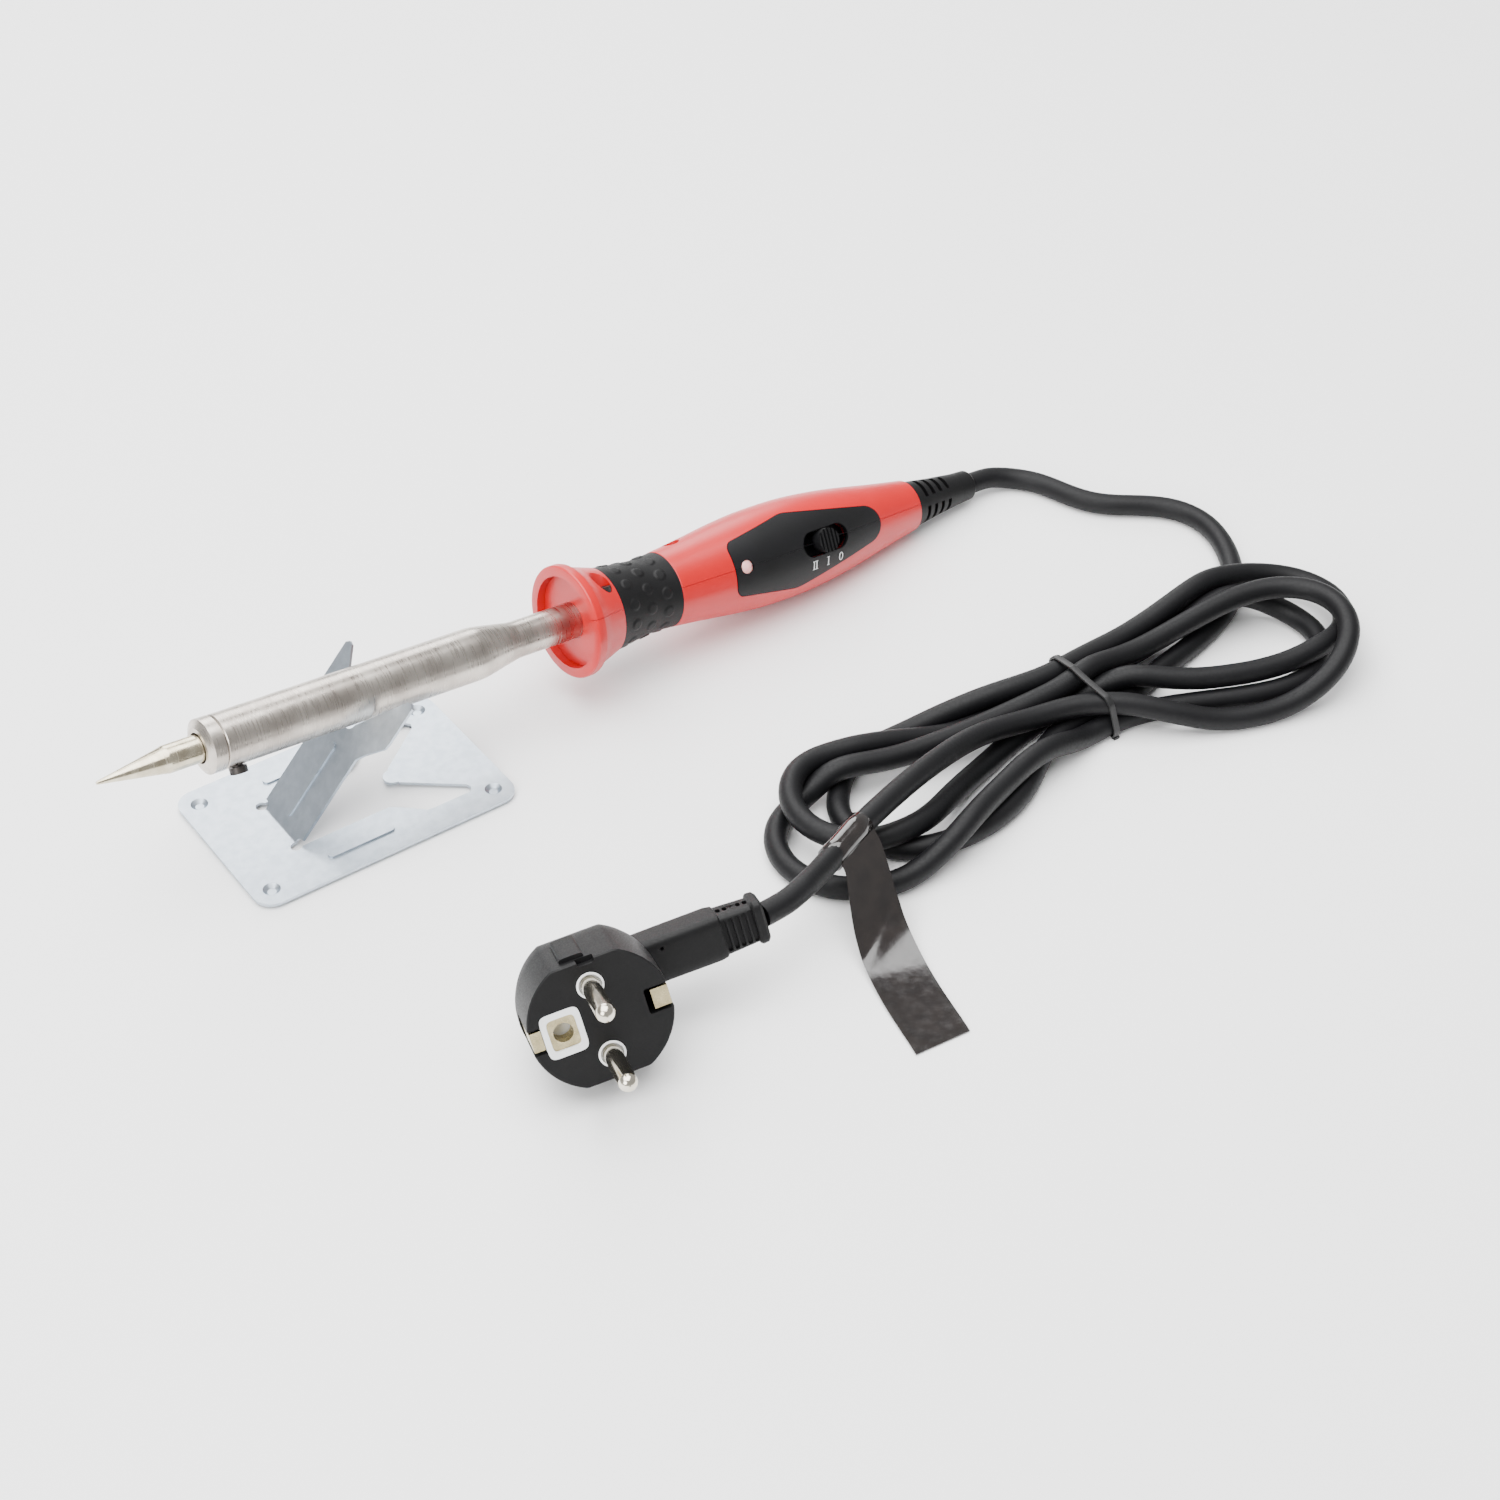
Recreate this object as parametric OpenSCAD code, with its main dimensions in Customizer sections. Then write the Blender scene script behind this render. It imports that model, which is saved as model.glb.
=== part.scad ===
// Soldering iron resting on its bent sheet-metal stand, with its mains cord and plug.
// Frame: Z up, z = 0 is the table under the stand's four pressed feet. X runs along the stand from the bit to the
// handle, Y is the stand's width. The origin is under the middle of stand and iron together.

/* [Stand] */
// Length of the base plate
plate_l = 79; // [74:0.5:90]
// Width of the base plate
plate_w = 53; // [46:0.5:64]
// Thickness of the sheet
sheet_t = 0.8; // [0.6:0.1:1.2]
// Corner radius of the base plate
corner_r = 5.5; // [3:0.5:8]
// Angle of the bent-up flap from the plate
flap_angle = 47; // [42:1:55]
// Length of the flap from the bend to the ends of its arms
flap_l = 50; // [46:0.5:54]
// Half width of the flap's stem
stem_hw = 10.2; // [8:0.2:12]
// Half width of the flap across its two arms
arm_hw = 17.5; // [16:0.1:19.5]
// Half angle of the notch that holds the barrel
notch_half = 40; // [36:1:45]
// Depth of the four pressed-down feet under the plate
foot_h = 1.0; // [0.6:0.1:1.5]

/* [Iron] */
// Diameter of the heater barrel
barrel_d = 14.8; // [13:0.2:16]
// Diameter of the bit's shank
bit_d = 7.5; // [6:0.1:7.8]
// Length of the bit's cone
cone_l = 19; // [14:0.5:24]
// Largest diameter of the handle
handle_d = 29; // [27:0.5:32]
// Length of the handle behind the rubber grip
handle_l = 94; // [88:0.5:104]
// Diameter of the guard flange
flange_d = 32.6; // [31:0.2:36]
// Wall of the handle shells
shell_wall = 2.2; // [2.0:0.1:2.4]
// Travel of the heat switch to each side of its middle step
switch_travel = 5; // [4:0.5:5]

/* [Cord] */
// Diameter of the mains cord
cord_d = 6.4; // [6:0.1:6.8]
// Height of the tied hank
hank_h = 15; // [14:0.5:17]

/* [Plug] */
// Diameter of a plug pin
pin_d = 4.8; // [4.7:0.1:4.9]
// Length of a plug pin
pin_l = 19; // [18:0.5:20]
// Spacing of the two pins
pin_gap = 19; // [18.5:0.5:19.5]

/* [Hidden] */

// ---- stand: the plate's own axes, its middle at x = 0 ----
mid_z = foot_h + sheet_t / 2;
bend_x = 18.7 - plate_l / 2;
bend_ri = 1.0;
bend_rm = bend_ri + sheet_t / 2;
bend_z = foot_h + sheet_t + bend_ri;
notch_u = 31;
slit = 0.3;
foot_x = plate_l / 2 - 5.5;
foot_y = plate_w / 2 - 6;

// ---- iron: stations along its axis from the tip of the bit ----
s_collar = 28.8;
s_barrel = 33.9;
s_step = 113.5;
s_tube = 128;
s_flange = 144.5;
s_grip = 156.5;
s_handle = 178;
s_end = s_handle + handle_l;
s_out = s_end + 25.6;
s_switch = s_handle + 0.543 * handle_l;
s_lens = s_handle + 0.234 * handle_l;
bit_r = bit_d / 2;
barrel_r = barrel_d / 2;
tube_r = 5.15;
core_r = barrel_r - 0.7;
// the heater's three layers share the room between the bit's sleeve and the barrel
layer = (core_r - bit_r - 0.75) / 4;
flange_r = flange_d / 2;
disc_r = flange_r - 3.1;
grip_k = handle_d / 29;
// radius of the handle as a share of its largest, at even steps from the grip to the cord end
HANDLE = [0.766, 0.82, 0.882, 0.943, 0.986, 1, 0.994, 0.957, 0.897, 0.815, 0.72, 0.63, 0.545];
PANEL_T = 1.2;

// ---- pose: the barrel lies in the notch and the handle's belly on the table ----
rest_s = 80;
nominal_tilt = 7.4;
belly_s = s_handle + 0.68 * handle_l;
belly_r = 0.439 * handle_d;
// how far up the flap the barrel's middle sits at a tilt, and the tilt that this gives
function seat_u(t) = notch_u + sqrt(pow(barrel_r / sin(flap_angle + t), 2) + pow(barrel_r / tan(notch_half), 2)) + 1.47;
function tilt_at(u) = asin((mid_z + u * sin(flap_angle) - belly_r - 0.1) / (belly_s - rest_s));
rest_u = seat_u(tilt_at(seat_u(nominal_tilt)));
rest_x = bend_x + rest_u * cos(flap_angle);
rest_z = mid_z + rest_u * sin(flap_angle);
tilt = tilt_at(rest_u);
yaw = 3.1;
roll = 57.8;
axis = [cos(tilt) * cos(yaw), cos(tilt) * sin(yaw), -sin(tilt)];
tip_plate = [rest_x, 0, rest_z] - axis * rest_s;
out_plate = tip_plate + axis * s_out;
// the origin is under the middle of the bit's point and the strain relief's end
row_x = (tip_plate[0] + out_plate[0]) / 2;
tip = tip_plate - [row_x, 0, 0];
out = out_plate - [row_x, 0, 0];
cord_r = cord_d / 2;
// the cord's own axes: the point on the table under the strain relief's end
desk = [out[0], out[1], 0];

// route of the cord from the iron to the hank, and from the hank to the plug, from desk
LEAD = [[0, 0, out[2]], [8, -0.3, 4.8], [15.5, -3, 3.9], [21, -8.8, 3.4], [23, -16.2, 3.3], [24.8, -23.8, 3.3],
    [28.8, -30.2, 3.3], [35, -34.6, 3.3], [41.2, -39, 3.3], [46.2, -44.8, 3.3], [48.4, -52.5, 3.3], [47.5, -60.5, 3.3],
    [44.5, -68.5, 3.3], [39.5, -76.8, 3.3], [33, -85, 3.3]];
TAIL = [[-57, -102, 10.5], [-70, -100.5, 12.5], [-82, -102, 15], [-94, -105.5, 17.5], [-106, -109, 19.3],
    [-118, -112.8, 20], [-130, -116.5, 20], [-139, -120, 20.2], [-146, -123.2, 20.4], [-152, -126.3, 20.7],
    [-158, -128.9, 21.1], [-165, -130.9, 21.4]];
plug_at = [-225.5, -139, 22.65];
plug_turn = [-111.7, -8.86, -15.74];
relief_x = 48;
neck_z = 23;

// ---- shared helpers ----
module on_iron() { translate(tip) rotate([roll, tilt, yaw]) children(); }
module turned() { rotate([0, 90, 0]) rotate([0, 0, 90]) rotate_extrude($fn = 96) children(); }
module on_plug() { translate(desk + plug_at) rotate(plug_turn) children(); }
// a solid of revolution about the iron's axis, from [station, radius] points
module spun(pts) { turned() polygon([for (p = pts) [p[1], p[0]]]); }
module rod(s0, s1, r, ri = 0) { spun([[s0, ri], [s1, ri], [s1, r], [s0, r]]); }
module pin_y(s, z, y0, y1, r) { translate([s, y0, z]) rotate([-90, 0, 0]) cylinder(h = y1 - y0, r = r, $fn = 48); }
module pin_z(s, y, z0, z1, r) { translate([s, y, z0]) cylinder(h = z1 - z0, r = r, $fn = 48); }
module block(s0, s1, y0, y1, z0, z1) { translate([s0, y0, z0]) cube([s1 - s0, y1 - y0, z1 - z0]); }
// a plain tube swept along a route, with one ring at each of its points
function unit(v) = v / norm(v);
function along(p, i) = unit(p[min(i + 1, len(p) - 1)] - p[max(i - 1, 0)]);
function ring(c, t, r, n, up) = let (u = unit(cross(up, t)), w = cross(t, u))
    [for (k = [0 : n - 1]) c + r * (cos(360 * k / n) * u + sin(360 * k / n) * w)];
module swept(p, r, n = 10, first = undef, last = undef, up = [0, 0, 1]) {
    m = len(p);
    rings = [for (i = [0 : m - 1]) ring(p[i],
        i == 0 && first != undef ? first : i == m - 1 && last != undef ? last : along(p, i), r, n, up)];
    side = [for (i = [0 : m - 2]) for (k = [0 : n - 1])
        [i * n + k, i * n + (k + 1) % n, (i + 1) * n + (k + 1) % n, (i + 1) * n + k]];
    start = [[for (k = [n - 1 : -1 : 0]) k]];
    finish = [[for (k = [0 : n - 1]) (m - 1) * n + k]];
    tri = [for (q = side) each [[q[0], q[1], q[2]], [q[0], q[2], q[3]]]];
    polyhedron(points = [for (g = rings) each g],
        faces = [for (f = concat(start, tri, finish)) [for (k = [len(f) - 1 : -1 : 0]) f[k]]]);
}
// a thin insulated wire inside the handle
module wire(pts, r) swept(pts, r, 8, up = [0, 1, 0.02]);

// ---- stand ----
module flap_outline(grow = 0) {
    a = tan(notch_half);
    mouth = flap_l - 1;
    arm = [[0, stem_hw], [28, stem_hw], [30.5, stem_hw + 1.8], [36, arm_hw - 0.3], [38, arm_hw],
        [flap_l - 1, arm_hw], [flap_l, arm_hw - 1.2], [flap_l - 0.4, (mouth - notch_u) * a - 0.2]];
    side = concat([for (p = arm) p], [[notch_u + 4, 4 * a]]);
    offset(delta = grow) difference() {
        polygon(concat(side, [for (i = [len(side) - 1 : -1 : 0]) [side[i][0], -side[i][1]]]));
        translate([notch_u + 4.2, 0]) circle(r = 3.1, $fn = 48);
    }
}
module plate_outline() {
    difference() {
        offset(r = corner_r, $fn = 64) square([plate_l - 2 * corner_r, plate_w - 2 * corner_r], center = true);
        translate([bend_x, 0]) intersection() {
            flap_outline(slit);
            translate([0, -plate_w / 2]) square([plate_l, plate_w]);
        }
        for (k = [-1, 1]) translate([bend_x, k * (stem_hw - 0.4)]) circle(r = 1.6, $fn = 48);
    }
}
module slot2d(l, w) { hull() for (k = [-1, 1]) translate([k * (l - w) / 2, 0]) circle(d = w, $fn = 32); }
module foot_outer() { cylinder(h = foot_h + sheet_t, r1 = 1.7, r2 = 3.1, $fn = 48); }
module foot_inner() { translate([0, 0, sheet_t]) cylinder(h = foot_h + 0.01, r1 = 1.2, r2 = 2.4, $fn = 48); }
module stand_sheet() color("lightsteelblue") translate([-row_x, 0, 0]) {
    difference() {
        union() {
            translate([0, 0, foot_h]) linear_extrude(sheet_t) plate_outline();
            for (i = [-1, 1]) for (j = [-1, 1]) translate([i * foot_x, j * foot_y, 0]) foot_outer();
            for (j = [-1, 1]) translate([bend_x + 15, j * (plate_w / 2 - 8.3), foot_h + sheet_t])
                linear_extrude(0.5) slot2d(20, 2.6);
        }
        for (i = [-1, 1]) for (j = [-1, 1]) translate([i * foot_x, j * foot_y, 0]) foot_inner();
        for (j = [-1, 1]) translate([bend_x + 15, j * (plate_w / 2 - 8.3), foot_h - 0.01])
            linear_extrude(0.5) slot2d(18.6, 1.2);
    }
    // the bend, then the flap leaning towards the handle
    translate([bend_x, stem_hw - 2, bend_z]) rotate([90, 0, 0]) linear_extrude(2 * stem_hw - 4) intersection() {
        difference() {
            circle(r = bend_ri + sheet_t, $fn = 64);
            circle(r = bend_ri, $fn = 64);
        }
        polygon([[-0.02, 0], [-0.02, -4], [4 * sin(flap_angle), -4],
            [4 * sin(flap_angle + 0.5), -4 * cos(flap_angle + 0.5)]]);
    }
    translate([bend_x, 0, bend_z]) rotate([0, -flap_angle, 0]) translate([0, 0, -bend_ri - sheet_t]) {
        linear_extrude(sheet_t) difference() {
            flap_outline();
            for (k = [-1, 1]) translate([0, k * (stem_hw - 0.4)]) circle(r = 1.6, $fn = 48);
        }
        translate([15, 0, sheet_t]) linear_extrude(0.5) slot2d(24, 2.6);
    }
}

// ---- bit and heater ----
module bit() color("khaki") on_iron() spun([[0, 0], [0, 0.45], [cone_l, bit_r - 0.15], [cone_l + 0.3, bit_r],
    [71.5, bit_r], [72, bit_r - 0.5], [72, 0]]);
module bit_collar() color("silver") on_iron() difference() {
    spun([[s_collar, bit_r + 0.45], [s_collar, bit_r + 1.6], [s_collar + 1.2, barrel_r + 0.1], [s_barrel - 0.5,
        barrel_r + 0.1], [s_barrel - 0.5, core_r], [s_barrel + 7, core_r], [s_barrel + 7, bit_r + 0.65],
        [s_barrel - 0.5, bit_r + 0.65], [s_barrel - 0.5, bit_r + 0.45]]);
    pin_y(s_barrel + 4, 0, -9, 0, 1.5);
}
module bit_screw() color("dimgray") on_iron() difference() {
    union() {
        pin_y(s_barrel + 4, 0, -barrel_r - 0.6, -bit_r - 0.05, 1.5);
        pin_y(s_barrel + 4, 0, -barrel_r - 2.1, -barrel_r - 0.3, 2.4);
    }
    block(s_barrel + 1, s_barrel + 7, -barrel_r - 3, -barrel_r - 1.3, -0.4, 0.4);
}
module barrel() color("silver") on_iron() difference() {
    spun([[s_barrel, core_r], [s_barrel, barrel_r - 0.3], [s_barrel + 0.3, barrel_r], [s_step, barrel_r],
        [s_step + 3, barrel_r - 0.3], [s_tube - 3, tube_r + 0.3], [s_tube, tube_r], [s_grip + 15.5, tube_r],
        [s_grip + 15.5, tube_r - 0.6], [s_tube, tube_r - 0.6], [s_step + 3, core_r - 0.4], [s_step, core_r]]);
    pin_y(s_barrel + 4, 0, -9, 0, 1.5);
    translate([s_barrel + 4, -barrel_r - 3, 0]) rotate([-90, 0, 0]) cylinder(h = 3, r = 2.45, $fn = 48);
}
module bit_sleeve() color("gray") on_iron() difference() {
    rod(s_barrel - 0.4, s_barrel + 66, bit_r + 0.62, bit_r + 0.1);
    pin_y(s_barrel + 4, 0, -9, 0, 1.5);
}
module heater_former() color("ivory") on_iron() rod(s_barrel + 8, s_barrel + 74, bit_r + 0.65 + layer, bit_r + 0.65);
module heater_coil() color("goldenrod") on_iron() rod(s_barrel + 11, s_barrel + 71, bit_r + 0.65 + 2 * layer, bit_r + 0.67 + layer);
module heater_wrap() color("wheat") on_iron() rod(s_barrel + 9, s_barrel + 73, core_r - 0.1, bit_r + 0.68 + 2 * layer);
module heater_bead() color("white") on_iron() difference() {
    rod(s_barrel + 74.3, s_step - 0.5, core_r - 0.02);
    for (k = [-1, 1]) translate([s_barrel + 70, k * 1.6, 0]) rotate([0, 90, 0]) cylinder(h = 20, r = 0.75, $fn = 24);
}
module front_disc() color("silver") on_iron() rod(s_flange + 2.5, s_flange + 3.4, disc_r, tube_r + 0.05);
module tube_clamp() color("gray") on_iron() difference() {
    rod(s_grip + 4, s_grip + 11, 6.85, tube_r + 0.02);
    block(s_grip, s_grip + 20, -0.6, 0.6, 4, 9);
}

// ---- handle ----
function handle_points(cut, n = 12) = [for (i = [0 : n]) [s_handle + handle_l * i / n, HANDLE[i] * handle_d / 2 - cut]];
grip_in = [[s_grip, 10.4], [s_grip + 13.5, 8.9], [s_handle, 9.1]];
module handle_solid() spun(concat([[s_flange, 0], [s_flange, flange_r - 0.5], [s_flange + 0.5, flange_r],
    [s_flange + 2.7, flange_r], [s_flange + 4.5, flange_r - 1.4], [s_grip, 12.5]], grip_in, handle_points(0), [[s_end, 0]]));
module handle_core(cut) spun(concat([[s_handle + 1, 0], [s_handle + 1, 8]],
    [for (i = [1 : 11]) handle_points(cut)[i]], [[s_end - 0.5, 0]]));
module cavity() spun(concat([[s_flange - 1, 0], [s_flange - 1, disc_r + 0.05], [s_flange + 3.4, disc_r + 0.05],
    [s_flange + 3.4, tube_r + 0.15], [s_flange + 6, tube_r + 0.15], [s_flange + 6, 6.9], [s_handle - 1, 6.9],
    [s_handle + 1.5, 8.9]], [for (i = [1 : 11]) handle_points(shell_wall)[i]],
    [[s_end - 4, 0.62 * handle_d / 2 - shell_wall], [s_end - 4, 5], [s_end + 1, 5], [s_end + 1, 0]]));
module panel_outline() hull() {
    for (k = [-1, 1]) translate([s_handle + 0.223 * handle_l, k * 5.2 * grip_k]) circle(r = 3, $fn = 32);
    translate([s_handle + 0.43 * handle_l, 0]) circle(r = 11 * grip_k, $fn = 32);
    translate([s_handle + 0.734 * handle_l, 0]) circle(r = 5.6 * grip_k, $fn = 32);
}
module panel_cut() intersection() {
    difference() {
        spun(concat([[s_handle, 0]], handle_points(-3), [[s_end, 0]]));
        handle_core(PANEL_T);
    }
    linear_extrude(20) panel_outline();
}
module switch_slot() translate([s_switch, 0, 6]) linear_extrude(14) slot2d(7.6 + 2 * switch_travel, 7.6);
module half(up) translate([100, up ? 0 : -40, -40]) cube([220, 40, 80]);
screw_z = 9.7;
module screw_bores() {
    pin_y(s_grip - 3.5, screw_z, -8, 12, 1.45);
    pin_y(s_grip - 3.5, screw_z, 5.5, 16, 2.6);
    pin_y(s_handle + 7.5, 0, -8, 12, 1.45);
    pin_y(s_handle + 7.5, 0, 8.2, 16, 2.6);
}
module shell(up) intersection() {
    difference() {
        union() {
            difference() {
                handle_solid();
                cavity();
            }
            // the screw boss, and in the lower shell the two posts of the cord clamp
            intersection() {
                handle_solid();
                pin_y(s_handle + 7.5, 0, -14, 14, 3);
            }
        }
        panel_cut();
        switch_slot();
        screw_bores();
        pin_z(s_lens, 0, 4, 20, 2.0);
    }
    half(up);
}
module clamp_posts() intersection() {
    handle_solid();
    for (k = [-1, 1]) pin_y(s_end - 11, k * 4.25, -8, cord_r, 0.95);
}
module shell_upper() color("crimson") on_iron() shell(true);
module shell_lower() color("crimson") on_iron() {
    shell(false);
    difference() {
        clamp_posts();
        for (k = [-1, 1]) pin_y(s_end - 11, k * 4.25, -3, 9, 0.5);
    }
}
module shell_screws() color("dimgray") on_iron() {
    pin_y(s_grip - 3.5, screw_z, -6, 5.6, 1.4);
    difference() {
        pin_y(s_grip - 3.5, screw_z, 5.5, 7.3, 2.5);
        for (a = [0, 90]) translate([s_grip - 3.5, 7.4, screw_z]) rotate([0, a, 0]) cube([3.2, 1.6, 0.6], center = true);
    }
    pin_y(s_handle + 7.5, 0, -7, 8.3, 1.4);
    difference() {
        pin_y(s_handle + 7.5, 0, 8.2, 10, 2.5);
        for (a = [0, 90]) translate([s_handle + 7.5, 10.1, 0]) rotate([0, a, 0]) cube([3.2, 1.6, 0.6], center = true);
    }
}
module grip_sleeve() color("#2b2b2b") on_iron() difference() {
    spun(concat([[s_grip + 0.02, 10.41], [s_grip + 0.02, 12.4]], [[s_grip + 6, 11.5], [s_grip + 13.5, 10.75],
        [s_handle - 0.02, 11.05]], [[s_handle - 0.02, 9.11], [s_grip + 13.5, 8.91]]));
    for (i = [0 : 2]) for (k = [0 : 11])
        rotate([30 * k + 15 * (i % 2), 0, 0]) translate([s_grip + 4.5 + 6 * i, 0, 10.7])
            cylinder(h = 4, r = 1.25, $fn = 24);
}
module panel_all() difference() {
    intersection() {
        difference() {
            spun(concat([[s_handle, 0]], handle_points(-0.2), [[s_end, 0]]));
            handle_core(PANEL_T);
        }
        linear_extrude(20) panel_outline();
    }
    switch_slot();
    pin_z(s_lens, 0, 4, 20, 2.0);
}
module panel_upper() color("#303030") on_iron() intersection() { panel_all(); half(true); }
module panel_lower() color("#303030") on_iron() intersection() { panel_all(); half(false); }

// ---- switch, lamp and wiring ----
lens_r = 13.1 * grip_k;
knob_top = 15.9 * grip_k;
module pilot_lens() color("mistyrose") on_iron() {
    pin_z(s_lens, 0, lens_r - 3, lens_r + 0.2, 1.95);
    translate([s_lens, 0, lens_r - 2.3]) intersection() {
        sphere(r = 3.2, $fn = 48);
        cylinder(h = 4, r = 1.95, $fn = 48);
    }
}
module pilot_lamp() color("orange") on_iron() {
    pin_z(s_lens, 0, 4.2, lens_r - 3.02, 1.6);
    for (k = [-1, 1]) wire([[s_lens, k * 0.8, 4.2], [s_lens, k * 0.8, 2.4], [s_switch - 15, k * 0.8, 2.4]], 0.3);
}
module switch_knob() color("#222222") on_iron() {
    block(s_switch - 10, s_switch + 10, -3.4, 3.4, 8.6, 9.6);
    pin_z(s_switch, 0, 9.5, 12.6 * grip_k, 2.6);
    difference() {
        pin_z(s_switch, 0, 12.5 * grip_k, knob_top, 3.6);
        for (k = [-2 : 2]) block(s_switch + 1.3 * k - 0.3, s_switch + 1.3 * k + 0.3, -4, 4, knob_top - 0.6, knob_top + 1);
    }
}
module switch_body() color("#444444") on_iron() {
    block(s_switch - 15, s_switch + 15, -6, 6, -2, 8.4);
    for (k = [-1, 1]) block(s_switch + 15, s_switch + 18, k * 3 - 0.8, k * 3 + 0.8, 1, 1.6);
}
module diode() color("black") on_iron() {
    translate([s_switch - 6, 3.5, -4.6]) rotate([0, 90, 0]) cylinder(h = 7, r = 1.5, $fn = 32);
    wire([[s_switch - 10, 3.5, -2], [s_switch - 10, 3.5, -4.6], [s_switch - 5.5, 3.5, -4.6]], 0.35);
    wire([[s_switch + 0.5, 3.5, -4.6], [s_switch + 5, 3.5, -4.6], [s_switch + 5, 3.5, -2]], 0.35);
}
module terminal_block() color("white") on_iron() difference() {
    block(s_end - 25, s_end - 16, -5, 5, -6, -0.5);
    for (k = [-1 : 1]) pin_z(s_end - 20.5, 3.2 * k, -3, 1, 1.1);
}
module heater_leads() color("tan") on_iron() for (k = [-1, 1])
    wire([[s_barrel + 74.6, k * 1.6, 0], [s_tube, k * 1.6, -0.2], [s_grip + 14, k * 1.6, -2.6],
        [s_handle + 2, k * 2, -5], [s_handle + 12, k * 2, -5], [s_switch - 15.1, k * 2, -0.5]], 0.6);
module earth_lead() color("yellowgreen") on_iron()
    wire([[s_grip + 11.02, 0, -6.05], [s_handle + 0.5, 0, -6.2], [s_handle + 8, 0, -7.6], [s_switch, 0, -8],
        [s_switch + 10, 0, -7], [s_end - 25.1, 0, -4]], 0.6);
module cord_clamp() color("gray") on_iron() difference() {
    block(s_end - 12.6, s_end - 9.4, cord_r + 0.02, cord_r + 1.3, -5.3, 5.3);
    for (k = [-1, 1]) pin_y(s_end - 11, k * 4.25, 0, 9, 0.55);
}
module clamp_screws() color("dimgray") on_iron() for (k = [-1, 1]) {
    pin_y(s_end - 11, k * 4.25, -2.5, cord_r + 1.31, 0.5);
    pin_y(s_end - 11, k * 4.25, cord_r + 1.3, cord_r + 2, 0.9);
}
module strain_relief() color("#262626") on_iron() difference() {
    spun([[s_end - 7.5, cord_r + 0.01], [s_end - 7.5, 6.1], [s_end - 4.02, 6.1], [s_end - 4.02, 4.98], [s_end + 0.02, 4.98],
        [s_end + 0.02, 7.3], [s_end + 10.8, 5.85], [s_end + 20, 4.85], [s_out - 0.6, 4.6], [s_out, 4.2],
        [s_out, cord_r + 0.01]]);
    for (i = [0 : 3]) for (a = [45 : 90 : 315]) rotate([a, 0, 0])
        translate([s_end + 3.4 + 3.2 * i, -3.6 + 0.35 * i, 4.4 - 0.1 * i]) cube([1.4, 7.2 - 0.7 * i, 6]);
}
module cord_inner() color("#202020") on_iron() {
    rod(s_end - 14, s_out, cord_r);
    for (k = [-1 : 1]) wire([[s_end - 13.8, k * 1.8, 0], [s_end - 15, k * 2.6, -1.8], [s_end - 15.6, k * 3.2, -2.6]], 0.8);
}

// ---- cord, hank, tie and tag ----
module hank_outline() {
    hull() {
        translate([-127.5, -109]) circle(r = 19, $fn = 32);
        translate([-113, -95.5]) circle(r = 15.8, $fn = 32);
        translate([-95, -106.5]) circle(r = 18, $fn = 32);
        translate([-75, -96]) circle(r = 15.2, $fn = 32);
        translate([-38, -99]) circle(r = 14.8, $fn = 32);
    }
    hull() {
        translate([-38, -99]) circle(r = 14.8, $fn = 32);
        translate([35.5, -104]) circle(r = 20, $fn = 32);
        translate([17.5, -119]) circle(r = 20, $fn = 32);
    }
}
tie_x = -38.5;
module tie_hole() translate([tie_x, -99, 0]) rotate([90, 0, 90]) linear_extrude(8, center = true)
    translate([0, 7.3]) offset(r = 4, $fn = 48) square([20.6, 4.6], center = true);
module cord_lead() color("#202020") translate(desk) swept(LEAD, cord_r, 10, first = axis);
module cord_hank() color("#202020") translate(desk) difference() {
    linear_extrude(hank_h) hank_outline();
    difference() {
        translate([tie_x - 1.5, -130, -1]) cube([3, 60, 30]);
        tie_hole();
    }
}
module cord_tie() color("#151515") translate(desk + [tie_x, -99, 7.3]) rotate([90, 0, 90])
    linear_extrude(2.2, center = true) difference() {
        offset(r = 4.9, $fn = 48) square([20.6, 4.6], center = true);
        offset(r = 4.02, $fn = 48) square([20.6, 4.6], center = true);
    }
module cord_tail() color("#202020") translate(desk)
    swept(concat(TAIL, [plug_out]), cord_r, 10, last = -plug_dir);
// the plug's cable direction and where its strain relief ends, from desk
plug_dir = [cos(plug_turn[1]) * cos(plug_turn[2]), cos(plug_turn[1]) * sin(plug_turn[2]), -sin(plug_turn[1])];
plug_back = [0.306, 0.879, -0.365];
plug_out = plug_at + plug_dir * relief_x + plug_back * neck_z;
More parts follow.
